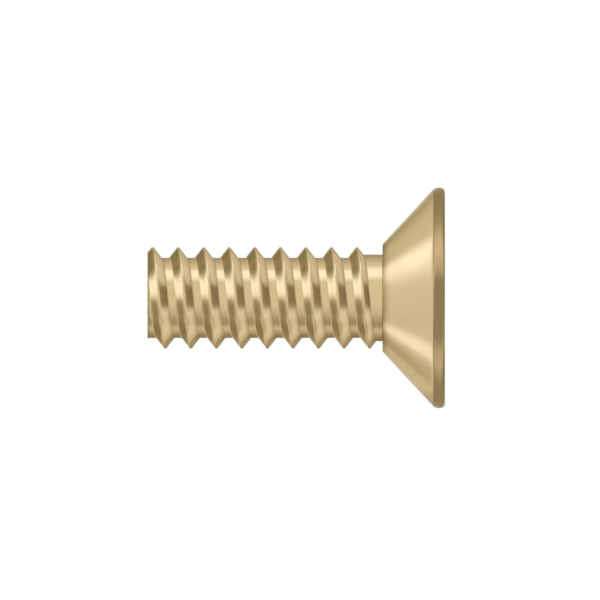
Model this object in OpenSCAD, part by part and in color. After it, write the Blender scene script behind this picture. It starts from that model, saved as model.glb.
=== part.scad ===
// Machine screw with a flat countersunk head, undercut to a short cone, a cross drive,
// and a single right-hand thread cut along nearly the whole shank.
// It stands on its head: the flat face is at z = 0 and the shank points along +Z.
// Lengths are in millimetres and angles in degrees.

/* [Screw] */
// Length from the flat face of the head to the cut end of the shank
screw_l = 12.7; // [8:0.1:25]

/* [Head] */
// Diameter over the rim
head_d = 9.42; // [8.4:0.02:11]
// Height of the rim, from the flat face to where the cone would meet it
rim_h = 0.41; // [0.4:0.01:0.8]
// Radius of the rounded edge round the flat face
face_edge_r = 0.2; // [0.05:0.01:0.21]
// Radius of the rounded edge between the rim and the cone
cone_edge_r = 0.38; // [0.04:0.01:0.4]
// Angle of the cone, from side to side
cone_angle = 94; // [80:1:100]
// Diameter of the flat shoulder that the undercut leaves under the cone
shoulder_d = 4.58; // [4.4:0.02:5.2]
// Radius of the rounded edge round the shoulder
shoulder_edge_r = 0.07; // [0.02:0.01:0.15]

/* [Shank] */
// Diameter of the plain neck under the head
neck_d = 3.7; // [3.5:0.02:3.9]
// Diameter over the crests of the thread
thread_d = 4.33; // [4:0.01:4.6]
// Diameter of the root between the ridges
root_d = 3.42; // [3:0.02:3.6]
// Distance along the shank from one ridge to the next
pitch = 1.09; // [0.8:0.01:1.4]
// Width of a ridge at its foot
ridge_w = 0.76; // [0.4:0.02:0.8]
// Width of a ridge at its crest
crest_w = 0.06; // [0.04:0.01:0.2]
// Length over which the last ridge sinks into the neck
fade_l = 0.4; // [0.2:0.02:1.2]
// Gap between the shoulder and the end of the last ridge
neck_gap = 0.04; // [0:0.02:1]
// Direction in which the crest runs out of the cut end, turned from +X
start_angle = 73; // [0:1:359]

/* [Drive] */
// Size of the cross recess from wing end to wing end, at the flat face
cross_d = 4.7; // [4:0.05:5.2]
// Depth of the wings
cross_depth = 2.3; // [1.2:0.05:2.4]
// Width of a wing at the flat face
wing_w = 1.05; // [0.8:0.05:1.3]
// Lean of the wing ends towards the axis
wing_end_lean = 26.5; // [15:0.5:28]
// Lean of the wing sides towards each other
wing_side_lean = 2.5; // [0:0.5:5]
// Diameter of the round core between the wings, at the flat face
core_d = 2.2; // [1.7:0.05:2.6]
// Lean of the core's wall towards the axis
core_lean = 5.75; // [0:0.25:10]
// Angle of the point at the bottom of the recess, from side to side
point_angle = 140; // [110:1:170]

/* [Hidden] */
$fn = 96;

satin_brass = [0.82, 0.73, 0.55];

// Facets round one turn of the thread
turn_steps = 60;
// Width that a flank keeps where the ridge has sunk into the neck
least_flank_w = 0.03;
// Length of shank that is sunk into the head, so that the two are one
root_in = 0.3;
// Distance by which the recess's cutters stand out of the flat face
cut_over = 0.5;

head_r = head_d / 2;
cone_half = cone_angle / 2;
// Height of the head, from the flat face to the shoulder
head_h = rim_h + (head_r - shoulder_d / 2) / tan(cone_half);

// Radius or half width of a recess wall that leans inwards, at a depth below the flat face
function lean_in(size, lean, depth) = size - depth * tan(lean);

// Reach of the wings where the point begins, depth of the point, and depth of the cutters
wing_foot_r = lean_in(cross_d / 2, wing_end_lean, cross_depth);
point_depth = cross_depth + wing_foot_r / tan(point_angle / 2);
cutter_depth = point_depth + cut_over;

// Rows of corners in a turn of the thread: two on the crest of the ridge, two in its groove
corners = 4;
// Distance along the shank for each millimetre that a flank rises
flank_run = (ridge_w - crest_w) / (thread_d - root_d);

// The shank's lower end, hidden in the head, and the turns between there and the tip,
// with spare ones past both ends
shank_foot = head_h - root_in;
turns = ceil((screw_l - shank_foot) / pitch) + 3;
first_ridge_z = screw_l - pitch * (turns - 2 + start_angle / 360);
last_row = corners * turns - 1;

// Height of the middle of the ridge that a row of corners belongs to, in one column of facets
function ridge_z(row, col) = first_ridge_z + pitch * (floor(row / corners) + col / turn_steps);

// How far the ridge and its groove have grown out of the plain neck, from 0 to 1,
// slowly at both ends
function growth(z) = let (t = max(0, min(1, (z - head_h - neck_gap) / fade_l))) t * t * (3 - 2 * t);

// Radius, at a ridge's height, of what is full_d across on the full thread
function grown_r(z, full_d) = (neck_d + growth(z) * (full_d - neck_d)) / 2;

// Half the width of a ridge at the foot of a flank, whose slope stays the same as the ridge sinks
function half_width(crest_r, foot_r) =
    crest_w / 2 + max(least_flank_w, (crest_r - foot_r) * flank_run);

// One corner of the thread as [height, radius], on an endless shank
function free_corner(row, col) =
    let (
        z = ridge_z(row, col),
        crest_r = grown_r(z, thread_d),
        groove_r = grown_r(z, root_d),
        next_crest_r = grown_r(z + pitch, thread_d)
    )
    [
        [z - crest_w / 2, crest_r],
        [z + crest_w / 2, crest_r],
        [z + half_width(crest_r, groove_r), groove_r],
        [z + pitch - half_width(next_crest_r, groove_r), groove_r],
    ][row % corners];

// One column of corners, from the foot of the shank to its tip, as [height, radius]
function free_column(col) = [for (row = [0 : last_row]) free_corner(row, col)];

// The column cut off level at both ends: what lies past an end is drawn back onto it
function cut_column(free) = [
    for (corner = free)
        let (z = max(shank_foot, min(screw_l, corner[0])))
        [z, lookup(z, free)]
];

// The last row of a column that is still on the foot, and the first that is on the tip
function foot_row(free) = max([for (row = [0 : last_row]) free[row][0] <= shank_foot ? row : 0]);
function tip_row(free) = min([for (row = [0 : last_row]) free[row][0] >= screw_l ? row : last_row]);

// The two triangles between two columns and two rows, each without a side of no length
function facet(a, b, c) = a == b || b == c || c == a ? [] : [[a, b, c]];
function panel(a, b, c, d) = concat(facet(a, b, c), facet(a, c, d));

// Rounded corner of a profile, from one direction to another
function arc(centre, r, from, to, steps = 8) = [
    for (i = [0 : steps])
        let (a = from + (to - from) * i / steps)
        centre + r * [cos(a), sin(a)]
];

module head_blank() {
    // Centres of the two rounded edges that the cone runs into
    cone_edge_z = rim_h - cone_edge_r * tan((90 - cone_half) / 2);
    shoulder_edge_x = shoulder_d / 2 - shoulder_edge_r * tan(cone_half / 2);
    rotate_extrude()
        polygon(concat(
            [[0, 0]],
            arc([head_r - face_edge_r, face_edge_r], face_edge_r, -90, 0),
            arc([head_r - cone_edge_r, cone_edge_z], cone_edge_r, 0, 90 - cone_half),
            arc([shoulder_edge_x, head_h - shoulder_edge_r], shoulder_edge_r, 90 - cone_half, 90),
            [[0, head_h]]
        ));
}

module threaded_shank() {
    free = [for (col = [0 : turn_steps - 1]) free_column(col)];
    foot = [for (column = free) foot_row(column)];
    tip = [for (column = free) tip_row(column)];
    corner_n = last_row + 1;
    corner_points = [
        for (col = [0 : turn_steps - 1])
            let (a = 360 * col / turn_steps)
            for (corner = cut_column(free[col]))
                [corner[1] * cos(a), corner[1] * sin(a), corner[0]]
    ];
    foot_centre = len(corner_points);
    tip_centre = foot_centre + 1;

    // The number of a corner. The column after the last is the first, one turn further up
    function at(row, col) =
        col == turn_steps
            ? at(min(row + corners, last_row), 0)
            : col * corner_n + max(foot[col], min(tip[col], row));

    sides = [
        for (col = [0 : turn_steps - 1])
            for (row = [0 : last_row - 1])
                each panel(at(row, col), at(row + 1, col), at(row + 1, col + 1), at(row, col + 1))
    ];
    ends = [
        for (col = [0 : turn_steps - 1])
            each [
                [foot_centre, at(0, col), at(0, col + 1)],
                [tip_centre, at(last_row, col + 1), at(last_row, col)],
            ]
    ];
    polyhedron(
        points = concat(corner_points, [[0, 0, shank_foot], [0, 0, screw_l]]),
        faces = concat(sides, ends)
    );
}

// One pair of wings, right across the recess
module wing_pair() {
    mouth = lean_in(wing_w / 2, wing_side_lean, -cut_over);
    bottom = lean_in(wing_w / 2, wing_side_lean, cutter_depth);
    rotate([90, 0, 90])
        linear_extrude(head_d, center = true)
            polygon([
                [-mouth, -cut_over],
                [mouth, -cut_over],
                [bottom, cutter_depth],
                [-bottom, cutter_depth],
            ]);
}

// The round core, which takes the corners off between the wings
module core() {
    translate([0, 0, -cut_over])
        cylinder(
            h = cut_over + cutter_depth,
            r1 = lean_in(core_d / 2, core_lean, -cut_over),
            r2 = lean_in(core_d / 2, core_lean, cutter_depth)
        );
}

// The leaning wing ends and the point at the bottom
module recess_envelope() {
    rotate_extrude()
        polygon([
            [0, -cut_over],
            [lean_in(cross_d / 2, wing_end_lean, -cut_over), -cut_over],
            [wing_foot_r, cross_depth],
            [0, point_depth],
        ]);
}

module cross_recess() {
    intersection() {
        recess_envelope();
        union() {
            wing_pair();
            rotate(90) wing_pair();
            core();
        }
    }
}

module machine_screw() {
    color(satin_brass)
        difference() {
            union() {
                head_blank();
                threaded_shank();
            }
            cross_recess();
        }
}

machine_screw();
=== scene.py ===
# %% [markdown]
# # A machine screw in satin brass
#
# The real thing is a flat-head hinge screw, 12.7 mm long: a countersunk head that is undercut to a short
# cone, a plain neck, and a coarse right-hand thread up to the cut end. It is cold headed and its thread is
# rolled, so it is one piece of brass, and here it is one closed mesh.
#
# The packed model is loaded first. It gives the screw's place and its overall size, and the dressed screw
# keeps to its box to within a few thousandths of a millimetre. The screw stands on its head: the flat face
# is at z = 0 and the shank points up.

# %% The frame
import math

import bpy
import numpy as np
from mathutils import Matrix, Vector


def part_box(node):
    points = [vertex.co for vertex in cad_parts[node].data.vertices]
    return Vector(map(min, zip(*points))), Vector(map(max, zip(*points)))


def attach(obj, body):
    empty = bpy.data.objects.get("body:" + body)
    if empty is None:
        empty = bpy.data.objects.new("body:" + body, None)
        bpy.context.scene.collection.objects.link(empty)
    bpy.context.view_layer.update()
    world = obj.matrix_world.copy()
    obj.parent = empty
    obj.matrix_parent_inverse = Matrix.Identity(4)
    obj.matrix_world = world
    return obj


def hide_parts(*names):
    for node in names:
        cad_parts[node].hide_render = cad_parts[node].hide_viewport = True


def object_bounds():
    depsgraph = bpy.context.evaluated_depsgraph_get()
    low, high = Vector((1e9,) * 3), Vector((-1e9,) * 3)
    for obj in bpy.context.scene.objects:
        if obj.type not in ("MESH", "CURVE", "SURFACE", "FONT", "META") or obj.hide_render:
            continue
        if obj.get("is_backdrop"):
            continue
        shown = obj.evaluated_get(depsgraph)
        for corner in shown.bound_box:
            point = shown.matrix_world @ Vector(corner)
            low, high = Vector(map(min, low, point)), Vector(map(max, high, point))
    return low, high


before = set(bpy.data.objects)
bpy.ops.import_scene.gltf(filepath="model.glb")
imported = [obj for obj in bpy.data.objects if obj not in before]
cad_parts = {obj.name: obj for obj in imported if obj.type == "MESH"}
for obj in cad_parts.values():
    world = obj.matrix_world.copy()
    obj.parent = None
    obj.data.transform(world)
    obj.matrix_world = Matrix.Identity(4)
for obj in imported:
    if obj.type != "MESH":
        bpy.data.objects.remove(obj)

NODE = "machine_screw"
MM = 0.001

cad_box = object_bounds()
low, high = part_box(NODE)
HEAD_D = high[0] - low[0]
SCREW_L = high[2] - low[2]
print(f"head {HEAD_D / MM:.2f} mm across, screw {SCREW_L / MM:.2f} mm long")

# %% [markdown]
# ## The sizes
#
# Two sizes come from the frame. The others are those of the solid, written once more because this script
# reads nothing but the frame. Angles are in degrees. Those of the cone and the point are measured from side
# to side, and a lean is measured from the axis.

# %% Sizes of the screw
RIM_H = 0.41 * MM
FACE_EDGE_R = 0.2 * MM
CONE_EDGE_R = 0.38 * MM
CONE_ANGLE = 94
SHOULDER_D = 4.58 * MM

NECK_D = 3.7 * MM
THREAD_D = 4.33 * MM
ROOT_D = 3.42 * MM
PITCH = 1.09 * MM
RIDGE_W = 0.76 * MM
CREST_W = 0.06 * MM
FADE_L = 0.4 * MM
NECK_GAP = 0.04 * MM
START_ANGLE = 73

CROSS_D = 4.7 * MM
CROSS_DEPTH = 2.3 * MM
WING_W = 1.05 * MM
WING_END_LEAN = 26.5
WING_SIDE_LEAN = 2.5
CORE_D = 2.2 * MM
CORE_LEAN = 5.75
POINT_ANGLE = 140

CONE_HALF = math.radians(CONE_ANGLE / 2)
HEAD_H = RIM_H + (HEAD_D - SHOULDER_D) / 2 / math.tan(CONE_HALF)
print(f"head {HEAD_H / MM:.2f} mm high, thread {(SCREW_L - HEAD_H) / PITCH:.1f} turns long")

# %% [markdown]
# ## One skin from pole to pole
#
# The whole surface is a line carried once round the axis. It starts in the point at the bottom of the cross
# recess, runs down the recess, out over the flat face, round the rim, up the cone, in over the shoulder, up
# the thread, and ends in the middle of the cut end. So every piece of it is a grid: rows along the line,
# columns round the axis.
#
# A grid is kept as three arrays of the same shape, x, y and z, and the face between two rows and two
# columns points outwards everywhere when the rows follow that line and the columns turn anticlockwise.

# %% Columns round the axis
COLUMNS = 240
azimuth = np.arange(COLUMNS) * 2 * math.pi / COLUMNS


def rings(radius, height, angle=azimuth):
    """Rows of points round the axis: x = radius cos(angle), y = radius sin(angle), z = height."""
    radius, height, angle = np.broadcast_arrays(radius, height, angle)
    return np.stack([radius * np.cos(angle), radius * np.sin(angle), height], axis=-1)


def level_rings(radii, heights):
    """One level ring for each radius and height in two lists, as rows of columns."""
    return rings(np.asarray(radii)[:, None], np.asarray(heights)[:, None])


def arc(centre, radius, start, end, steps):
    """Points of a rounded corner: centre + radius (cos a, sin a), with a from start to end in degrees."""
    a = np.radians(np.linspace(start, end, steps + 1))
    return centre[0] + radius * np.cos(a), centre[1] + radius * np.sin(a)


def smooth_min(a, b, width):
    """The lower of a and b, its corner rounded over a width: min(a, b) - (width - |a - b|)^2 / 4 width."""
    near = np.maximum(width - np.abs(a - b), 0)
    return np.minimum(a, b) - near * near / (4 * width)


def smooth_step(t):
    """0 below 0, 1 above 1, and t t (3 - 2 t) between them."""
    t = np.clip(t, 0, 1)
    return t * t * (3 - 2 * t)


# %% [markdown]
# ## The cross recess
#
# The picture is a side view and doesn't show the drive. Hinge screws of this kind have a cross recess,
# pressed in by a punch: four wings with leaning ends, a round core between them, and a blunt point at the
# bottom.
#
# It could be cut by a Boolean, but that leaves thin triangles. Seen from the axis the recess has one wall
# in each direction, so it is also a function: the distance from the axis to its wall, by direction and
# depth. The corners of the cross move with the depth, so the columns are turned to stay on them, which
# keeps every edge crisp.

# %% The recess wall as a function of direction and depth
WING_FOOT_R = CROSS_D / 2 - CROSS_DEPTH * math.tan(math.radians(WING_END_LEAN))
POINT_DEPTH = CROSS_DEPTH + WING_FOOT_R / math.tan(math.radians(POINT_ANGLE / 2))
OCTANT = math.pi / 4
CORNER_GAP = math.radians(1.5)
LEAST_SINE = 1e-6
POINT_STEPS = 12
WING_STEPS = 18


def lean_in(size, lean, depth):
    """A wall that leans towards the axis: size - depth tan(lean)."""
    return size - depth * math.tan(math.radians(lean))


def recess_rings(depths):
    """Rows of the recess, one for each depth.

    The reach of the wings falls with the depth, faster under the wing ends: that is the envelope. In a
    direction that is t away from the nearest wing's middle, the wall is at min(envelope, max(core, half
    width / sin(t))). The corners are at sin(t) = half width / envelope and sin(t) = half width / core, and
    each of the three stretches that they part takes a third of the columns.
    """
    depth = np.asarray(depths)[:, None]
    wing_end = lean_in(CROSS_D / 2, WING_END_LEAN, depth)
    point = (POINT_DEPTH - depth) * math.tan(math.radians(POINT_ANGLE / 2))
    envelope = np.minimum(wing_end, point)
    half_width = lean_in(WING_W / 2, WING_SIDE_LEAN, depth)
    core = lean_in(CORE_D / 2, CORE_LEAN, depth)

    core_corner = np.arcsin(half_width / core)
    end_corner = np.arcsin(np.minimum(half_width / np.maximum(envelope, half_width), 1))
    end_corner = np.minimum(end_corner, core_corner - CORNER_GAP)
    quarter = azimuth % (2 * OCTANT)
    share = 3 * np.minimum(quarter, 2 * OCTANT - quarter)[None, :] / OCTANT
    turn = np.where(
        share < 1,
        share * end_corner,
        np.where(
            share < 2,
            end_corner + (share - 1) * (core_corner - end_corner),
            core_corner + (share - 2) * (OCTANT - core_corner),
        ),
    )
    side = half_width / np.maximum(np.sin(turn), LEAST_SINE)
    wall = np.minimum(envelope, np.maximum(core, side))

    nearest_wing = azimuth - np.where(quarter < OCTANT, quarter, quarter - 2 * OCTANT)
    angle = nearest_wing + np.where(quarter < OCTANT, turn, -turn)
    return rings(wall, depth, angle)


point_depths = np.linspace(POINT_DEPTH, CROSS_DEPTH, POINT_STEPS + 1)[1:-1]
wing_depths = np.linspace(CROSS_DEPTH, 0, WING_STEPS + 1)
recess = np.concatenate([recess_rings(point_depths), recess_rings(wing_depths)])
print(f"recess {CROSS_D / MM:.1f} mm across and {POINT_DEPTH / MM:.2f} mm deep, {len(recess)} rows")

# %% [markdown]
# ## The head
#
# The head is round, so it is a profile carried round the axis: the flat face, a rounded edge, the rim, a
# second rounded edge, the cone, and the flat shoulder that the undercut leaves. The shoulder's outer edge
# is just broken, as on a real screw, and catches a thin line of shade.

# %% The head as a profile
SHOULDER_EDGE_R = 0.07 * MM
FACE_STEPS = 7
FACE_EDGE_STEPS = 8
CONE_EDGE_STEPS = 10
CONE_STEPS = 25
SHOULDER_EDGE_STEPS = 4
SHOULDER_STEPS = 4


def inner_steps(start, end, steps):
    """Values between a start and an end, without these two."""
    return np.linspace(start, end, steps + 1)[1:-1]


def head_profile():
    """Radius and height of each row of the head, from the recess to the neck.

    The cone falls back from the rim at half the cone angle, so its points are r = rim - (z - rim height)
    tan(half), between the arc on the rim and the arc on the shoulder.
    """
    head_r = HEAD_D / 2
    cone_turn = 90 - CONE_ANGLE / 2
    cone_edge_z = RIM_H - CONE_EDGE_R * math.tan(math.radians(cone_turn / 2))
    face_edge = arc((head_r - FACE_EDGE_R, FACE_EDGE_R), FACE_EDGE_R, -90, 0, FACE_EDGE_STEPS)
    rim_edge = arc((head_r - CONE_EDGE_R, cone_edge_z), CONE_EDGE_R, 0, cone_turn, CONE_EDGE_STEPS)
    shoulder_z = HEAD_H - SHOULDER_EDGE_R
    shoulder_in = SHOULDER_D / 2 - SHOULDER_EDGE_R * math.tan(math.radians((90 - cone_turn) / 2))
    shoulder_edge = arc((shoulder_in, shoulder_z), SHOULDER_EDGE_R, cone_turn, 90, SHOULDER_EDGE_STEPS)
    face = inner_steps(CROSS_D / 2, head_r - FACE_EDGE_R, FACE_STEPS)
    cone = inner_steps(0, 1, CONE_STEPS)
    cone_r = rim_edge[0][-1] + cone * (shoulder_edge[0][0] - rim_edge[0][-1])
    cone_z = rim_edge[1][-1] + cone * (shoulder_edge[1][0] - rim_edge[1][-1])
    shoulder = inner_steps(shoulder_in, NECK_D / 2, SHOULDER_STEPS)
    radii = [face, face_edge[0], rim_edge[0], cone_r, shoulder_edge[0], shoulder]
    heights = [0 * face, face_edge[1], rim_edge[1], cone_z, shoulder_edge[1], HEAD_H + 0 * shoulder]
    return np.concatenate(radii), np.concatenate(heights)


head = level_rings(*head_profile())
print(f"head of {len(head)} rows")

# %% [markdown]
# ## The thread
#
# The thread is one ridge wound round the shank with a V-shaped section, a narrow crest and a flat root.
# Rolling leaves both a little rounded. It could be a curve with a profile swept along it, but the end of
# such a sweep is open where it meets the cut end, and it runs out badly at the neck.
#
# So the whole shank is one function instead: its radius at any height and direction. The rows follow the
# ridge round, and rise by one pitch in each turn, so that the crest is a clean line. Rows that would run
# past an end are drawn back onto it. The last ridge fades into the plain neck, and the rows at its feet move
# in towards its crest there, so that they stay on the bend.

# %% The radius of the shank
CREST_ROUND = 0.022 * MM
FOOT_ROUND = 0.018 * MM
LEAST_SHOWN = 0.01
TIP_EDGE_R = 0.04 * MM
thread_top = SCREW_L - TIP_EDGE_R
flank_run = (RIDGE_W - CREST_W) / (THREAD_D - ROOT_D)


def growth(height):
    """How far the thread has grown out of the neck, from 0 to 1, at a ridge's height."""
    return smooth_step((height - HEAD_H - NECK_GAP) / FADE_L)


def crest_radius(ridge):
    """Radius of the crest at a ridge's height: from the neck's to the full crest's, as the thread grows."""
    return (NECK_D + growth(ridge) * (THREAD_D - NECK_D)) / 2


def groove_radius(ridge):
    """Radius of the groove on the tip's side of a ridge: from the neck's to the full root's."""
    return (NECK_D + growth(ridge) * (ROOT_D - NECK_D)) / 2


def shank_radius(height, turn):
    """Radius of the shank at a height, and in a direction given as a share of a turn.

    The nearest ridge is at start + pitch (n + turn). Its flanks fall off at a fixed slope from the edge of
    its crest, crest - (|offset| - half crest width) / run, and are kept between the groove and the crest
    with both corners rounded, less so where the ridge sinks. The groove on the head's side belongs to the
    ridge below it.
    """
    start = SCREW_L - PITCH * START_ANGLE / 360
    ridge = start + PITCH * (np.round((height - start) / PITCH - turn) + turn)
    offset = height - ridge
    tip_side = smooth_step(0.5 + offset / RIDGE_W)
    crest = crest_radius(ridge)
    groove = groove_radius(ridge - PITCH) * (1 - tip_side) + groove_radius(ridge) * tip_side
    flank = crest - (np.abs(offset) - CREST_W / 2) / flank_run
    shown = np.maximum(growth(ridge), LEAST_SHOWN)
    ridge_top = smooth_min(flank, crest, CREST_ROUND * shown)
    return -smooth_min(-ridge_top, -groove, FOOT_ROUND * shown)


# %% Rows along the thread
CREST_ROWS = 1
CREST_EDGE_ROWS = 4
FLANK_ROWS = 3
FOOT_ROWS = 6
GROOVE_ROWS = 2
STEP_ROWS = [CREST_ROWS, CREST_EDGE_ROWS, FLANK_ROWS, FOOT_ROWS, GROOVE_ROWS]
LEAST_DROP = 0.07 * MM
TURNS_PAST_FOOT = 1
TURNS_PAST_TIP = 2


def row_offsets(step, drop):
    """Distance of a row from the middle of its ridge, for a step from 0 to 5 and the groove's depth there.

    The steps are the start and the end of the crest's edge, those of the foot, and the middle of the groove.
    Between two of them the rows are evenly apart: distance = sum of (knot[i + 1] - knot[i]) clip(step - i,
    0, 1).
    """
    crest = CREST_W / 2
    crest_half = CREST_ROUND * flank_run
    foot = crest + flank_run * np.maximum(drop, LEAST_DROP)
    foot_half = FOOT_ROUND * flank_run
    knots = [0, crest - crest_half, crest + crest_half, foot - foot_half, foot + foot_half, PITCH / 2]
    return sum((knots[i + 1] - knots[i]) * np.clip(step - i, 0, 1) for i in range(len(STEP_ROWS)))


def thread_rows():
    """Height of each thread row in each column, on an endless shank, and the number of rows to a turn."""
    half = np.concatenate([i + np.arange(count) / count for i, count in enumerate(STEP_ROWS)])
    step = np.concatenate([[-len(STEP_ROWS)], -half[:0:-1], half])[None, :, None]
    ridge = (first_ridge + PITCH * np.arange(turn_count))[:, None, None] + PITCH * turn
    head_side = row_offsets(-step, crest_radius(ridge) - groove_radius(ridge - PITCH))
    tip_side = row_offsets(step, crest_radius(ridge) - groove_radius(ridge))
    heights = ridge + np.where(step < 0, -head_side, tip_side)
    return heights.reshape(-1, COLUMNS), step.size


turn_count = math.ceil((thread_top - HEAD_H) / PITCH) + TURNS_PAST_FOOT + TURNS_PAST_TIP
turn = azimuth / (2 * math.pi)
first_ridge = SCREW_L - PITCH * (turn_count - TURNS_PAST_TIP + START_ANGLE / 360)
free_height, row_count = thread_rows()
shank_height = np.clip(free_height, HEAD_H, thread_top)
shank = rings(shank_radius(shank_height, turn[None, :]), shank_height)
print(f"thread of {len(shank)} rows, {row_count} to a turn")

# %% [markdown]
# ## The cut end
#
# The end is cut off square and its edge is just broken. The ridge is cut through there, so the end's
# outline is the shank's own radius at that height, and its rows are that outline drawn in towards the axis.

# %% Rows of the cut end
END_EDGE_STEPS = 4
END_STEPS = 8


def cut_end():
    """The rounded edge, then the outline drawn in: r = (outline - edge) share, with shares from 1 to 0."""
    outline = shank_radius(thread_top, turn)[None, :]
    a = np.radians(np.linspace(0, 90, END_EDGE_STEPS + 1)[1:])[:, None]
    edge = rings(outline - TIP_EDGE_R * (1 - np.cos(a)), thread_top + TIP_EDGE_R * np.sin(a))
    share = inner_steps(1, 0, END_STEPS)[:, None]
    return np.concatenate([edge, rings((outline - TIP_EDGE_R) * share, SCREW_L)])


tip = cut_end()
print(f"cut end of {len(tip)} rows")

# %% [markdown]
# ## From grids to one mesh
#
# A face is written with the numbers of its points. Each row of numbers has one more than there are
# columns: the last one closes it. On a level row that is its first point again. On the thread it is the
# first point of the row one turn further up, and this is what makes a helix of it. Rows that were drawn
# back onto an end all take the number of the one row that is really there, so their faces have no area and
# are left out.

# %% Numbering the rows
def level_numbers(grid, first):
    """Numbers of a grid of level rows: first + row * columns + column, closed with the first column."""
    rows, columns = grid.shape[:2]
    numbers = first + np.arange(rows * columns).reshape(rows, columns)
    return np.concatenate([numbers, numbers[:, :1]], axis=1)


def thread_numbers(first):
    """Numbers of the shank's grid, with each row kept between the foot row and the tip row of its column."""
    rows = np.arange(len(shank))[:, None]
    foot = (free_height <= HEAD_H).sum(axis=0) - 1
    top = (free_height < thread_top).sum(axis=0)
    here = np.clip(rows, foot, top)
    after = np.clip(np.minimum(rows + row_count, len(shank) - 1), foot[0], top[0])
    return first + np.concatenate([here * COLUMNS + np.arange(COLUMNS), after * COLUMNS], axis=1)


def pole_numbers(number, columns=COLUMNS):
    """A row that is one point."""
    return np.full((1, columns + 1), number)


print(f"a closed row has {level_numbers(tip, 0).shape[1]} numbers for {COLUMNS} columns")

# %% Joining the grids
def faces_between(numbers):
    """Two triangles for each cell of the grid, (a, b, c) and (a, c, d), without those that repeat a point."""
    a, b = numbers[:-1, :-1], numbers[:-1, 1:]
    d, c = numbers[1:, :-1], numbers[1:, 1:]
    triangles = np.concatenate([
        np.stack([a, b, c], axis=-1).reshape(-1, 3),
        np.stack([a, c, d], axis=-1).reshape(-1, 3),
    ])
    i, j, k = triangles.T
    return triangles[(i != j) & (j != k) & (k != i)]


def join_skin():
    """Points and triangles of the whole screw."""
    poles = np.array([[0, 0, POINT_DEPTH], [0, 0, SCREW_L]])
    grids = [recess, head, shank, tip]
    points = np.concatenate([poles] + [grid.reshape(-1, 3) for grid in grids])
    firsts = len(poles) + np.cumsum([0] + [grid.shape[0] * COLUMNS for grid in grids])
    numbers = np.concatenate([
        pole_numbers(0),
        level_numbers(recess, firsts[0]),
        level_numbers(head, firsts[1]),
        thread_numbers(firsts[2]),
        level_numbers(tip, firsts[3]),
        pole_numbers(1),
    ])
    triangles = faces_between(numbers)
    used, triangles = np.unique(triangles, return_inverse=True)
    return points[used], triangles.reshape(-1, 3)


skin_points, skin_triangles = join_skin()
print(f"{len(skin_points)} points, {len(skin_triangles)} triangles")

# %% A piece from points and triangles
SHARP_ANGLE = math.radians(32)


def make_piece(name, points, triangles):
    """A mesh object at the origin, with foreach_set filling its points and triangles."""
    mesh = bpy.data.meshes.new(name)
    mesh.vertices.add(len(points))
    mesh.vertices.foreach_set("co", points.astype(np.float32).ravel())
    mesh.loops.add(triangles.size)
    mesh.loops.foreach_set("vertex_index", triangles.astype(np.int32).ravel())
    mesh.polygons.add(len(triangles))
    mesh.polygons.foreach_set("loop_start", np.arange(0, triangles.size, 3, dtype=np.int32))
    mesh.update(calc_edges=True)
    mesh.validate()
    piece = bpy.data.objects.new(name, mesh)
    bpy.context.scene.collection.objects.link(piece)
    return piece


def enclosed_volume(points, triangles):
    """Volume inside a closed skin: the sum of a . (b x c) / 6 over its triangles."""
    a, b, c = (points[triangles[:, i]] for i in range(3))
    return float((a * np.cross(b, c)).sum() / 6)


screw = make_piece("brass_screw", skin_points, skin_triangles)
screw.data.shade_smooth()
screw.data.set_sharp_from_angle(angle=SHARP_ANGLE)
volume = enclosed_volume(skin_points, skin_triangles)
print(f"{screw.name} holds {volume / MM**3:.1f} mm3")

# %% [markdown]
# ## Writing shader maths as Python
#
# A material's numbers are worked out by nodes. Wiring them one by one is hard to read, so a small class
# holds a socket and turns each operator into a Math node. The reflected forms are there too, so that 1 -
# mask works. Every other node comes from one method, which takes its type, its settings, and its inputs as
# values or as sockets.

# %% Sockets that can be added and multiplied
class Wire:
    """An output socket of a node tree. Its operators add Math nodes."""

    def __init__(self, tree, socket):
        self.tree = tree
        self.socket = socket

    def math(self, operation, *others):
        """One Math node, with this socket as its first value."""
        return self.tree.node("ShaderNodeMath", {"operation": operation}, [self, *others])

    def __add__(self, other):
        return self.math("ADD", other)

    def __sub__(self, other):
        return self.math("SUBTRACT", other)

    def __mul__(self, other):
        return self.math("MULTIPLY", other)

    def __truediv__(self, other):
        return self.math("DIVIDE", other)

    def __rsub__(self, other):
        return self.tree.node("ShaderNodeMath", {"operation": "SUBTRACT"}, [other, self])

    __radd__ = __add__
    __rmul__ = __mul__


print("sockets take", ", ".join(name.strip("_") for name in vars(Wire) if name.startswith("__r")), "too")

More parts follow.
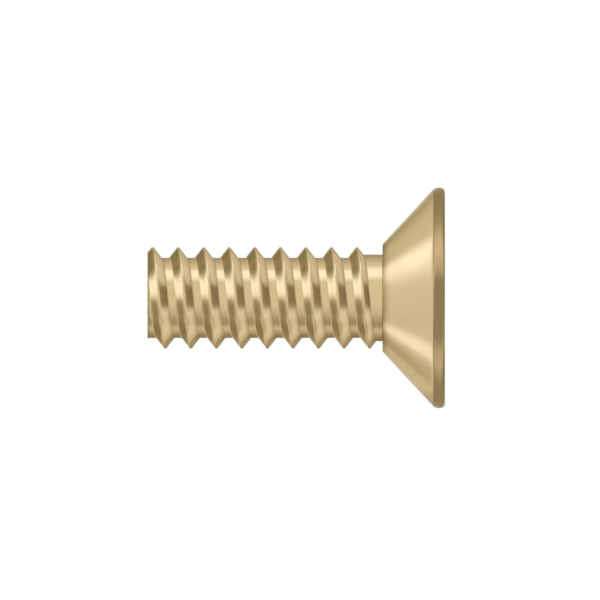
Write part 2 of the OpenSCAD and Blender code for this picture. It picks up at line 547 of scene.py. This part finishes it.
# %% A tree that adds the nodes
class NodeTree:
    """The empty node tree of a material or a world."""

    def __init__(self, owner):
        owner.use_nodes = True
        self.name = owner.name
        self.tree = owner.node_tree
        self.tree.nodes.clear()

    def node(self, kind, settings, inputs, out=0):
        """Add a node and return an output. Inputs are a list in order, or a dict by number or name."""
        node = self.tree.nodes.new(kind)
        for name, value in settings.items():
            setattr(node, name, value)
        pairs = inputs.items() if isinstance(inputs, dict) else enumerate(inputs)
        for key, value in pairs:
            if isinstance(value, Wire):
                self.tree.links.new(value.socket, node.inputs[key])
            else:
                node.inputs[key].default_value = value
        return Wire(self, node.outputs[out]) if node.outputs else None

    def place(self):
        """The point's own place on its piece, in metres."""
        return self.node("ShaderNodeTexCoord", {}, {}, out="Object")

    def parts(self, vector):
        """The three numbers of a vector."""
        return [self.node("ShaderNodeSeparateXYZ", {}, [vector], out=axis) for axis in range(3)]

    def ramp(self, value, start, end):
        """0 where the value is at start, 1 where it is at end, and t t (3 - 2 t) between them."""
        settings = {"interpolation_type": "SMOOTHSTEP", "clamp": True}
        return self.node("ShaderNodeMapRange", settings, [value, start, end, 0.0, 1.0])

    def blend(self, share, first, second):
        """first (1 - share) + second share, for colours."""
        return self.node("ShaderNodeMix", {"data_type": "RGBA"}, {0: share, 6: first, 7: second}, out=2)

    def noise(self, place, scale, detail):
        """Soft noise from 0 to 1, with scale features to a unit of the place."""
        return self.node("ShaderNodeTexNoise", {}, {"Vector": place, "Scale": scale, "Detail": detail})

    def surface(self, shader):
        """Send a shader to the output of a material."""
        self.node("ShaderNodeOutputMaterial", {}, {"Surface": shader})
        print(f"{self.name}: {len(self.tree.nodes)} nodes")


print("a tree adds", ", ".join(name for name in vars(NodeTree) if not name.startswith("_")))

# %% [markdown]
# ## Satin brass
#
# The real finish is satin: the brass is tumbled and lacquered, so it mirrors its surroundings as soft
# bands, without a sharp picture in them. A roughness of about 0.17 does that. Seen along the surface, brass
# pales less than a plain metal shader does, so the shader's edge colour is lowered as well.
#
# The rim is painted as one browner band of shade, with a thin darker line of painted shade along both of its
# edges. Painted shade also darkens the brass at the cone's small end, at the foot of the ridge on the head's
# side and in the recess, and in a thin line round the edge of the cut end. Each mask is worked out from the
# place on the screw, in millimetres.
#
# The head takes fine rings from its die, which is turned on a lathe, and the end has them from the tool
# that cut it off. Noise that changes along the profile but hardly round the axis gives these rings, through
# a Bump node. The rolled thread has none.

# %% Colours of the brass
BRASS = (0.64, 0.49, 0.27, 1)
DEEPER_BRASS = (0.615, 0.465, 0.25, 1)
# Painted shade: the rim's browner band and its darker edge lines, and the darker brass blended in at the
# other shaded places.
RIM_SHADE_BRASS = (0.385, 0.28, 0.135, 1)
PAINTED_SHADE_BRASS = (0.37, 0.265, 0.12, 1)
RIM_EDGE_SHADE_BRASS = (0.31, 0.226, 0.112, 1)
EDGE_TINT = (0.81, 0.74, 0.6, 1)
ROUGHNESS = 0.15
print(f"brass {BRASS[:3]}, roughness from {ROUGHNESS}")

# %% Where the head's finish and painted shade change
EDGE_MM = 0.03
HEAD_MM = HEAD_H / MM
RIM_OVER_MM = 0.09
RIM_TOP_MM = RIM_H / MM + RIM_OVER_MM
RIM_INNER_MM = (HEAD_D / 2 - FACE_EDGE_R) / MM
RIM_LINE_MM = 0.06
RECESS_R_MM = CROSS_D / MM / 2
RECESS_LEAN = math.tan(math.radians(WING_END_LEAN))
RECESS_FADE_MM = 0.3
SHOULDER_SHADE_MM = 0.42
SHOULDER_POWER = 2.2


def rim_shade_mask(tree, radius, z):
    """Where the rim's painted shade goes: 1 on the rim, outside its inner radius and below its top."""
    outer = tree.ramp(radius, RIM_INNER_MM - EDGE_MM, RIM_INNER_MM + EDGE_MM)
    return outer * tree.ramp(z, RIM_TOP_MM + EDGE_MM / 2, RIM_TOP_MM - EDGE_MM / 2)


def rim_edge_shade_mask(tree, z):
    """Painted shade lines: 1 along both edges of the rim."""
    middle = (RIM_TOP_MM + RIM_LINE_MM) / 2
    away = (z - middle).math("ABSOLUTE")
    return tree.ramp(away, middle - 2 * RIM_LINE_MM, middle - RIM_LINE_MM)


def recess_mask(tree, radius, z):
    """1 in the recess: above the flat face and inside its wing ends, radius + z tan(lean) < reach."""
    inside = tree.ramp(radius + z * RECESS_LEAN, RECESS_R_MM + 3 * EDGE_MM, RECESS_R_MM + EDGE_MM)
    return inside * tree.ramp(z, 0.0, RECESS_FADE_MM)


def shoulder_shade_mask(tree, z):
    """Painted shade: rises to 1 near the cone's small end, as a power of the share of the way up to it."""
    ends = [HEAD_MM - SHOULDER_SHADE_MM, HEAD_MM - 2 * EDGE_MM, 0.0, 1.0]
    share = tree.node("ShaderNodeMapRange", {"clamp": True}, [z, *ends])
    return share.math("POWER", SHOULDER_POWER) * tree.ramp(z, HEAD_MM + EDGE_MM, HEAD_MM)


print(f"browner rim up to {RIM_TOP_MM:.2f} mm, painted shade on the cone end from {HEAD_MM - SHOULDER_SHADE_MM:.2f} mm")

# %% Where the shank's finish and painted shade change
TIP_MM = SCREW_L / MM
TIP_LINE_MM = 0.14
PITCH_MM = PITCH / MM
BELOW_ROOT_MM = 0.2
INSIDE_MM = ROOT_D / MM / 2 - BELOW_ROOT_MM
NECK_END_MM = HEAD_MM + NECK_GAP / MM
FADE_MM = FADE_L / MM
FOOT_MM = 0.37
FOOT_LINE_MM = 0.08
FLANK_SHADE_MM = 0.2
SUNK_MM = flank_run * (THREAD_D - NECK_D) / MM / 2
SUNK_BELOW_MM = flank_run * (NECK_D - ROOT_D) / MM / 2


def foot_shade_mask(tree, x, y, z, radius):
    """Painted shade: 1 along the foot of the ridge on the head's side, and less up the flank.

    A point's phase is (z - start) / pitch - turn, and its fraction is 0 on every crest, so the next crest is
    (1 - fraction) pitch ahead. The foot is about half a ridge before it, less where the ridge has sunk.
    """
    turn = y.math("ARCTAN2", x) / (2 * math.pi)
    phase = ((z - (TIP_MM - PITCH_MM * START_ANGLE / 360)) / PITCH_MM - turn).math("FRACT")
    ahead = (1 - phase) * PITCH_MM
    grown = tree.ramp(z + ahead, NECK_END_MM, NECK_END_MM + FADE_MM)
    grown_below = tree.ramp(z + ahead - PITCH_MM, NECK_END_MM, NECK_END_MM + FADE_MM)
    foot = FOOT_MM - SUNK_MM * (1 - grown) - SUNK_BELOW_MM * (1 - grown_below)
    groove_side = tree.ramp(ahead, foot + FOOT_LINE_MM, foot)
    crest_side = tree.ramp(ahead, foot - FLANK_SHADE_MM, foot)
    outside = tree.ramp(radius, INSIDE_MM - EDGE_MM, INSIDE_MM + EDGE_MM)
    return groove_side * crest_side * crest_side * grown * outside


def end_mask(tree, z):
    """1 on the flat of the cut end."""
    return tree.ramp(z, TIP_MM - EDGE_MM, TIP_MM - EDGE_MM / 3)


def tip_edge_shade_mask(tree, z):
    """Painted shade: 1 in a thin line round the edge of the cut end."""
    return tree.ramp(z, TIP_MM - TIP_LINE_MM, TIP_MM - TIP_LINE_MM / 3) * (1 - end_mask(tree, z))


print(f"painted shade line {FOOT_MM} mm before each crest, and another {TIP_LINE_MM} mm wide at the cut end")

# %% The brass material
RING_DEPTH = 0.4e-6
RINGS_TO_A_MM = 9
RING_WANDER = 0.25
RING_DETAIL = 3.0
MOTTLE_SCALE = 900
MOTTLE_DETAIL = 2.0
MOTTLE_FROM = 0.35
MOTTLE_TO = 0.75
MOTTLE_ROUGHNESS = 0.04
END_ROUGHNESS = 0.06
RECESS_ROUGHNESS = 0.16
FOOT_SHADE_SHARE = 0.62
TIP_EDGE_SHADE_SHARE = 0.8
RECESS_SHADE_SHARE = 0.6


def turned_rings(tree, x, y, z, radius):
    """Noise at (x / radius, y / radius) wander and (z - radius) rings: it hardly changes round the axis."""
    along = (z - radius) * RINGS_TO_A_MM
    spot = tree.node("ShaderNodeCombineXYZ", {}, [x / radius * RING_WANDER, y / radius * RING_WANDER, along])
    return tree.noise(spot, 1.0, RING_DETAIL)


def brass_material():
    """The whole screw's finish and painted shade, from each point's place in millimetres and its distance
    from the axis.
    """
    paint = bpy.data.materials.new("brass_satin")
    tree = NodeTree(paint)
    place = tree.place()
    x, y, z = [part / MM for part in tree.parts(place)]
    radius = (x * x + y * y).math("SQRT")
    mottle = tree.noise(place, MOTTLE_SCALE, MOTTLE_DETAIL)
    recess = recess_mask(tree, radius, z)
    end = end_mask(tree, z)
    head = tree.ramp(z, HEAD_MM + EDGE_MM, HEAD_MM - EDGE_MM)

    colour = tree.blend(tree.ramp(mottle, MOTTLE_FROM, MOTTLE_TO), BRASS, DEEPER_BRASS)
    # painted shade on the rim: a browner band, darker along both of its edges
    rim_shade_colour = tree.blend(rim_edge_shade_mask(tree, z), RIM_SHADE_BRASS, RIM_EDGE_SHADE_BRASS)
    colour = tree.blend(rim_shade_mask(tree, radius, z), colour, rim_shade_colour)
    # painted shade: a darker line round the edge of the cut end
    colour = tree.blend(tip_edge_shade_mask(tree, z) * TIP_EDGE_SHADE_SHARE, colour, PAINTED_SHADE_BRASS)
    # painted shade at the cone's small end
    colour = tree.blend(shoulder_shade_mask(tree, z), colour, PAINTED_SHADE_BRASS)
    # painted shade along the foot of each ridge on the head's side
    colour = tree.blend(foot_shade_mask(tree, x, y, z, radius) * FOOT_SHADE_SHARE, colour, PAINTED_SHADE_BRASS)
    # painted shade in the recess
    colour = tree.blend(recess * RECESS_SHADE_SHARE, colour, PAINTED_SHADE_BRASS)
    roughness = ROUGHNESS + mottle * MOTTLE_ROUGHNESS + recess * RECESS_ROUGHNESS + end * END_ROUGHNESS
    height = turned_rings(tree, x, y, z, radius) * (head * (1 - recess) + end)
    bump = tree.node("ShaderNodeBump", {}, {"Strength": 1.0, "Distance": RING_DEPTH, "Height": height})
    tree.surface(tree.node("ShaderNodeBsdfPrincipled", {}, {
        "Base Color": colour,
        "Metallic": 1.0,
        "Roughness": roughness,
        "Specular Tint": EDGE_TINT,
        "Normal": bump,
    }))
    return paint


screw.data.materials.append(brass_material())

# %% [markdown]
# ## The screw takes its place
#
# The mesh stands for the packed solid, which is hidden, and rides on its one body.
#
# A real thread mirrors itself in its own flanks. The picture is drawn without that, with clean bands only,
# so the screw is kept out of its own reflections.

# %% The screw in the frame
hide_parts(NODE)
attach(screw, "root")
screw.visible_glossy = False
print(f"{screw.name} stands for {NODE}")

# %% [markdown]
# ## The camera
#
# The picture looks straight at the side of the screw, with the head on the right, and shows no perspective:
# crests far from the middle look like those in it. So the camera has parallel rays. A pixel is as wide as
# the screw's length over the pixels that it spans, and the flat face and the axis lie where the picture has
# them. The shank there lies a pixel higher than the head, so the axis is set between the two.

# %% A camera with parallel rays
PICTURE_W = 600
SCREW_PIXELS = 297.6
FACE_COLUMN = 444.98
AXIS_ROW = 297.9
CAMERA_WAY = 0.3
PIXEL = SCREW_L / SCREW_PIXELS


def make_camera():
    """A camera that looks along +Y with +X upwards and the head on its right."""
    data = bpy.data.cameras.new("camera")
    data.type = "ORTHO"
    data.ortho_scale = PICTURE_W * PIXEL
    camera = bpy.data.objects.new("camera", data)
    bpy.context.scene.collection.objects.link(camera)
    right, up, back = (0, 0, -1), (1, 0, 0), (0, -1, 0)
    middle = PICTURE_W / 2
    place = ((AXIS_ROW - middle) * PIXEL, -CAMERA_WAY, (FACE_COLUMN - middle) * PIXEL)
    camera.matrix_world = Matrix.Translation(place) @ Matrix((right, up, back)).transposed().to_4x4()
    return camera


bpy.context.scene.camera = make_camera()
print(f"one pixel is {PIXEL / MM:.4f} mm")

# %% [markdown]
# ## A white world
#
# The background is white, and so is what the metal mirrors where no card stands. On matt surfaces the world
# gives a little less light, so that the lamps can still throw a soft shadow. Light Path tells these rays
# apart.

# %% The world
PLAIN_LIGHT = 0.8


def make_world():
    """A white background: strength = plain + (1 - plain) seen, where seen is 0 for matt surfaces only."""
    world = bpy.data.worlds.new("studio")
    tree = NodeTree(world)
    kinds = ("Is Camera Ray", "Is Glossy Ray", "Is Transmission Ray")
    camera, glossy, transmission = [tree.node("ShaderNodeLightPath", {}, {}, out=kind) for kind in kinds]
    seen = camera.math("MAXIMUM", glossy).math("MAXIMUM", transmission)
    strength = PLAIN_LIGHT + (1 - PLAIN_LIGHT) * seen
    shader = tree.node("ShaderNodeBackground", {}, {"Color": (1, 1, 1, 1), "Strength": strength})
    tree.node("ShaderNodeOutputWorld", {}, {"Surface": shader})
    world.cycles.sampling_method = "NONE"
    return world


bpy.context.scene.world = make_world()
print(f"world of {len(bpy.context.scene.world.node_tree.nodes)} nodes")

# %% [markdown]
# ## Cards for the metal to mirror
#
# A smooth metal shows no light of its own, only its surroundings. So a photographer stands white and black
# cards round a screw, out of the picture, and places each one where the surface mirrors it. The same is
# done here: each band in the picture belongs to one direction in the room, and a card hangs there.
#
# Directions are written in the picture's terms: towards the camera, up the picture, and towards the cut
# end. A card glows with the colour that its points carry. Its cover is the colour's fourth number, and runs
# out to 0 at nearly every edge, which is what gives the bands their soft ends.

# %% Directions round the screw
CENTRE = np.array([0, 0, SCREW_L / 2])


def toward(near, up, tip):
    """A direction from its parts towards the camera, up the picture and towards the cut end."""
    way = np.stack(np.broadcast_arrays(up, -np.asarray(near), tip), axis=-1)
    return way / np.linalg.norm(way, axis=-1, keepdims=True)


def sky(turn, rise=0):
    """A direction from its turn away from the camera, up the picture, and its rise to the cut end."""
    a, e = np.radians(turn), np.radians(rise)
    return toward(np.cos(a) * np.cos(e), np.sin(a) * np.cos(e), np.sin(e))


def above(spots):
    """Directions towards the cut end, for pairs (near, up): the third part is sqrt(1 - near near - up up)."""
    near, up = np.transpose(spots)
    return toward(near, up, np.sqrt(1 - near * near - up * up))


print("the camera is at", sky(0), "and the cut end at", toward(0, 0, 1))

# %% A card that only reflections see
def card_material():
    """Glow with the colour that the points carry, and let through what is behind where its cover is low."""
    paint = bpy.data.materials.new("card_glow")
    tree = NodeTree(paint)
    settings = {"attribute_type": "GEOMETRY", "attribute_name": "tone"}
    tone = tree.node("ShaderNodeAttribute", settings, {}, out="Color")
    cover = tree.node("ShaderNodeAttribute", settings, {}, out="Alpha")
    clear = tree.node("ShaderNodeBsdfTransparent", {}, {})
    glow = tree.node("ShaderNodeEmission", {}, {"Color": tone, "Strength": 1.0})
    tree.surface(tree.node("ShaderNodeMixShader", {}, [cover, clear, glow]))
    paint.cycles.emission_sampling = "NONE"
    return paint


CARD_GLOW = card_material()


def card(name, points, triangles, tones):
    """A stage piece that neither the camera nor the floor sees, with a colour and a cover for each point."""
    piece = make_piece(name, points, triangles)
    layer = piece.data.attributes.new("tone", "FLOAT_COLOR", "POINT")
    layer.data.foreach_set("color", tones.astype(np.float32).ravel())
    piece.data.materials.append(CARD_GLOW)
    piece.visible_camera = False
    piece.visible_diffuse = False
    piece.visible_transmission = False
    piece.visible_shadow = False
    piece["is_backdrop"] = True
    print(f"{name}: {len(points)} points")


# %% [markdown]
# ## The softboxes and the dark cards
#
# The bright bands on the cone, on the flanks that face the cut end and along the shank are softboxes. The
# dark spots between them are dark cards with a little brass in their colour, as warm dark cloth has. Two
# pale cards lift the flanks that face the head.
#
# Where cards overlap, the nearer one shows. The softboxes hang nearest. The darkest card comes next, and
# deepens the middle of the dark card at the back. The pale cards hang well behind the dark ones.
#
# A round card is spanned between two directions, with its outline a circle that is drawn out towards a
# rectangle. Any other outline is a short list of directions.

# %% Cards from an outline
CARD_WAY = 0.25
SOFTBOX_WAY = 0.19
OVAL_CORNERS = 32
OVAL_POWER = 0.6


def outline_card(name, corners, colour, soft, distance=CARD_WAY):
    """A card between its middle and its corners, which fades out from 1 - soft to 1 + soft of that way."""
    middle = corners.mean(axis=0)
    shares = np.array([1 - soft, 1 + soft])[:, None, None]
    edges = middle + shares * (corners - middle)
    ways = np.concatenate([[middle], edges.reshape(-1, 3)])
    numbers = np.concatenate([pole_numbers(0, len(corners)), level_numbers(edges, 1)])
    cover = np.arange(len(ways)) <= len(corners)
    tones = np.column_stack([np.tile(colour, (len(ways), 1)), cover])
    card(name, CENTRE + distance * ways, faces_between(numbers), tones)


def oval(start, end, breadth):
    """Corners of a rounded strip between two directions, each given by its three parts.

    corner = middle + c along + s across, where c and s are cos a and sin a raised to a power below 1, which
    keeps their signs and fills the corners out.
    """
    start, end = toward(*start), toward(*end)
    middle = (start + end) / 2
    along = (end - start) / 2
    across = np.cross(middle, along)
    across *= breadth / 2 / np.linalg.norm(across)
    a = np.arange(OVAL_CORNERS) * 2 * math.pi / OVAL_CORNERS
    c, s = [np.sign(v) * np.abs(v) ** OVAL_POWER for v in (np.cos(a), np.sin(a))]
    return middle + c[:, None] * along + s[:, None] * across


print(f"ovals of {OVAL_CORNERS} corners, {CARD_WAY} m away")

# %% The softboxes
BRIGHT = (1.82, 2.0, 2.34)
SOFT_BRIGHT = (1.6, 1.75, 2.0)
TOP_OUTLINE = [
    (-0.165, -0.04), (-0.155, 0.10), (-0.145, 0.20), (-0.145, 0.30), (-0.18, 0.40),
    (-0.25, 0.47), (-0.33, 0.48), (-0.38, 0.45), (-0.35, 0.38), (-0.32, 0.30),
    (-0.312, 0.20), (-0.31, 0.10), (-0.29, -0.02), (-0.27, -0.08), (-0.20, -0.09),
]
SIDE_TURNS = np.array([54, 54, 88, 88])
SIDE_RISES = np.array([-25, 25, 25, -25])


def softbox(name, corners, colour, soft):
    """A bright card, hung in front of the others."""
    outline_card(name, corners, colour, soft, SOFTBOX_WAY)


softbox("top_softbox", above(TOP_OUTLINE), BRIGHT, 0.25)
softbox("low_softbox", oval((-0.24, -0.385, 0.88), (-0.40, -0.475, 0.80), 0.16), SOFT_BRIGHT, 0.3)
softbox("side_softbox", sky(SIDE_TURNS, SIDE_RISES), SOFT_BRIGHT, 0.42)
softbox("near_softbox", oval((0.25, 0.15, 0.95), (0.45, 0.45, 0.77), 0.25), SOFT_BRIGHT, 0.3)

# %% The dark cards
DARK = (0.30, 0.26, 0.15)
BACK_DARK = (0.38, 0.34, 0.23)
DEEP_DARK = (0.22, 0.18, 0.06)
HALF_DARK = (0.45, 0.41, 0.30)
UNDER_DARK = (0.56, 0.53, 0.43)
PALE = (1.16, 1.18, 1.24)
LESS_PALE = (1.06, 1.09, 1.16)
DEEP_WAY = 0.2
PALE_WAY = 0.6
BACK_OUTLINE = [
    (-0.36, 0.34), (-0.46, 0.405), (-0.61, 0.43), (-0.75, 0.41), (-0.86, 0.35), (-0.93, 0.27),
    (-0.965, 0.15), (-0.985, 0), (-0.97, -0.135), (-0.93, -0.24), (-0.855, -0.325), (-0.76, -0.385),
    (-0.665, -0.46), (-0.545, -0.47), (-0.435, -0.395), (-0.33, -0.32), (-0.24, -0.22), (-0.21, -0.10),
    (-0.28, -0.03), (-0.305, 0.12), (-0.33, 0.26),
]
NEAR_OUTLINE = [
    (0.15, -0.35), (0.45, -0.30), (0.75, -0.40), (0.80, -0.55), (0.60, -0.72), (0.25, -0.75), (0.08, -0.60),
]
outline_card("back_card", above(BACK_OUTLINE), BACK_DARK, 0.1)
outline_card("deep_card", oval((-0.5, 0.36, 0.79), (-0.42, -0.31, 0.85), 0.28), DEEP_DARK, 0.2, DEEP_WAY)
outline_card("near_card", above(NEAR_OUTLINE), HALF_DARK, 0.25)
outline_card("low_card", oval((-0.27, -0.09, -0.95), (-0.38, 0.29, -0.90), 0.30), DARK, 0.2)
outline_card("low_pale", oval((-0.5, -0.5, -0.71), (-0.3, -0.05, -0.95), 0.5), PALE, 0.25, PALE_WAY)
outline_card("top_pale", oval((-0.3, 0.2, -0.93), (-0.65, 0.45, -0.61), 0.5), LESS_PALE, 0.25, PALE_WAY)
outline_card("under_card", oval((-0.93, -0.2, -0.28), (-0.76, -0.4, -0.52), 0.2), UNDER_DARK, 0.35)

# %% [markdown]
# ## Two walls round the screw
#
# The neck and the root of the thread are upright walls, so they mirror a ring of the room that is level
# with them. A wall stands there, with a grey for each direction: pale on the camera's side, darker below
# and at the back, with a light strip between these two.
#
# The rim is upright too and would show that same wall, but in the picture it has two bright spots of its
# own. A low collar close to the head gives them. It stops below the thread and is open at the back, so only
# the rim and its edges mirror it in this view. A ray from the camera that meets the rim at a turn a leaves
# it at 2 a, and reaches the collar at 2 a - asin(rim sin(a) / collar). So the collar's greys are listed by
# the place on the rim where they show, and it ends where the rim's outline does.

# %% Walls with a grey for each direction
RING_STEPS = 160
WARMTH = np.array([0, 0.09, 0.33])


def ring_card(name, radius, heights, covers, turns, greys):
    """A wall round the axis, with a grey that runs straight from each listed turn to the next.

    Its colour is grey (1 - warmth (1 - grey)), the darker the warmer, and plain grey from 1 upwards.
    """
    at = np.linspace(turns[0], turns[-1], RING_STEPS + 1)
    grey = np.interp(at, turns, greys)[:, None]
    colour = grey * (1 - WARMTH * np.maximum(1 - grey, 0))
    points = radius * sky(at) + np.array(heights)[:, None, None] * np.array([0, 0, 1])
    numbers = np.arange(points[..., 0].size).reshape(points.shape[:2])
    cover = np.broadcast_to(np.array(covers)[:, None, None], (*numbers.shape, 1))
    tones = np.concatenate([np.broadcast_to(colour, points.shape), cover], axis=-1)
    card(name, points.reshape(-1, 3), faces_between(numbers), tones)


print(f"walls of {RING_STEPS} steps")

# %% The wall and the collar
WALL_TURNS = [
    -180, -150, -140, -130, -120, -110, -100, -90, -80, -70,
    -60, -44, -28, -12, 96, 110, 120, 140, 160, 180,
]
WALL_GREYS = [
    0.44, 0.42, 0.43, 0.52, 0.62, 0.74, 0.98, 0.76, 0.5, 0.51,
    0.64, 0.86, 1, 1.06, 1.06, 0.96, 0.84, 0.7, 0.56, 0.44,
]
WALL_HEIGHTS = SCREW_L / 2 + np.array([-0.11, -0.04, 0.01, 0.05])
ring_card("wall", CARD_WAY, WALL_HEIGHTS, [0, 1, 1, 0], WALL_TURNS, WALL_GREYS)

COLLAR_R = 5.4 * MM
COLLAR_HEIGHTS = np.array([-8, 1.4, 2.4]) * MM
RIM_TURNS = np.array([-90, -54, -46, -38, -30, -22, 9, 18, 26, 34, 42, 50, 58, 90])
RIM_GREYS = [0.7, 0.7, 0.9, 1.3, 1.2, 0.72, 0.7, 1.3, 1.6, 1.4, 0.95, 0.78, 0.7, 0.7]
missed = np.degrees(np.arcsin(HEAD_D / 2 * np.sin(np.radians(RIM_TURNS)) / COLLAR_R))
ring_card("collar", COLLAR_R, COLLAR_HEIGHTS, [1, 1, 0], 2 * RIM_TURNS - missed, RIM_GREYS)

# %% [markdown]
# ## Two soft lamps
#
# The metal has its cards, but a matt floor can't mirror them. Two round lamps light the floor from above
# and from the camera's side, just enough for the screw to throw a soft shadow. They are kept out of the
# reflections.

# %% The lamps
LAMP_WAY = 0.2
LAMP_SIZE = 0.12


def lamp(name, way, watts):
    """A round area lamp that stands in a direction from the screw and shines back at it."""
    data = bpy.data.lights.new(name, "AREA")
    data.shape = "DISK"
    data.size = LAMP_SIZE
    data.energy = watts
    piece = bpy.data.objects.new(name, data)
    turned = Vector(way).to_track_quat("Z", "Y").to_matrix().to_4x4()
    piece.matrix_world = Matrix.Translation(CENTRE + LAMP_WAY * way) @ turned
    piece.visible_camera = False
    piece.visible_glossy = False
    bpy.context.scene.collection.objects.link(piece)
    print(f"{name}: {watts} W")


lamp("top_lamp", toward(-0.27, 0.19, 0.94), 0.08)
lamp("near_lamp", toward(0.5, 0.3, 0.8), 0.04)

# %% [markdown]
# ## The floor
#
# The screw stands on its head on a pale floor. It is a disc of matt card that fades out before its edge, so
# no horizon shows in any view, and it is clear from below, so the drive can be looked at. It is small,
# because in other views the camera stands only 24 mm from the screw's middle, and a line would show where a
# larger floor passes under it. It lies a hair under the flat face. The picture shows no floor in the metal,
# so the floor is kept out of its reflections.

# %% A pale disc
FLOOR_R = 0.025
FLOOR_Z = -0.01 * MM
FADE_FROM = 0.01
FADE_TO = 0.024
FLOOR_WHITE = (0.93, 0.93, 0.93, 1)


def floor_material():
    """Matt white, clear where the distance from the screw passes the fade, and on the underside."""
    paint = bpy.data.materials.new("floor_white")
    tree = NodeTree(paint)
    away = tree.node("ShaderNodeVectorMath", {"operation": "LENGTH"}, [tree.place()], out="Value")
    underside = tree.node("ShaderNodeNewGeometry", {}, {}, out="Backfacing")
    gone = tree.ramp(away, FADE_FROM, FADE_TO).math("MAXIMUM", underside)
    clear = tree.node("ShaderNodeBsdfTransparent", {}, {})
    pale = tree.node("ShaderNodeBsdfDiffuse", {}, {"Color": FLOOR_WHITE})
    tree.surface(tree.node("ShaderNodeMixShader", {}, [gone, pale, clear]))
    return paint


def make_floor():
    """Level rings drawn in from the edge to the middle, so that the disc faces up."""
    edges = level_rings([FLOOR_R, FLOOR_R / 2], [FLOOR_Z, FLOOR_Z])
    points = np.concatenate([edges.reshape(-1, 3), [[0, 0, FLOOR_Z]]])
    numbers = np.concatenate([level_numbers(edges, 0), pole_numbers(len(points) - 1)])
    floor = make_piece("floor", points, faces_between(numbers))
    floor.data.materials.append(floor_material())
    floor.visible_glossy = False
    floor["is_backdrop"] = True


make_floor()
print(f"floor {2 * FLOOR_R / MM:.0f} mm across")

# %% [markdown]
# ## Colours as written, and the size
#
# The Standard view shows a colour as it is written. The box of the finished screw is set beside that of the
# packed solid, because a better looking piece may not be a larger one.

# %% Looks and sizes
bpy.context.scene.view_settings.view_transform = "Standard"
visual_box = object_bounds()
sizes = {"cad": [list(corner) for corner in cad_box], "visual": [list(corner) for corner in visual_box]}
gap = np.abs(np.array(sizes["cad"]) - np.array(sizes["visual"])).max()
print(f"the boxes differ by {gap / MM:.3f} mm at most")
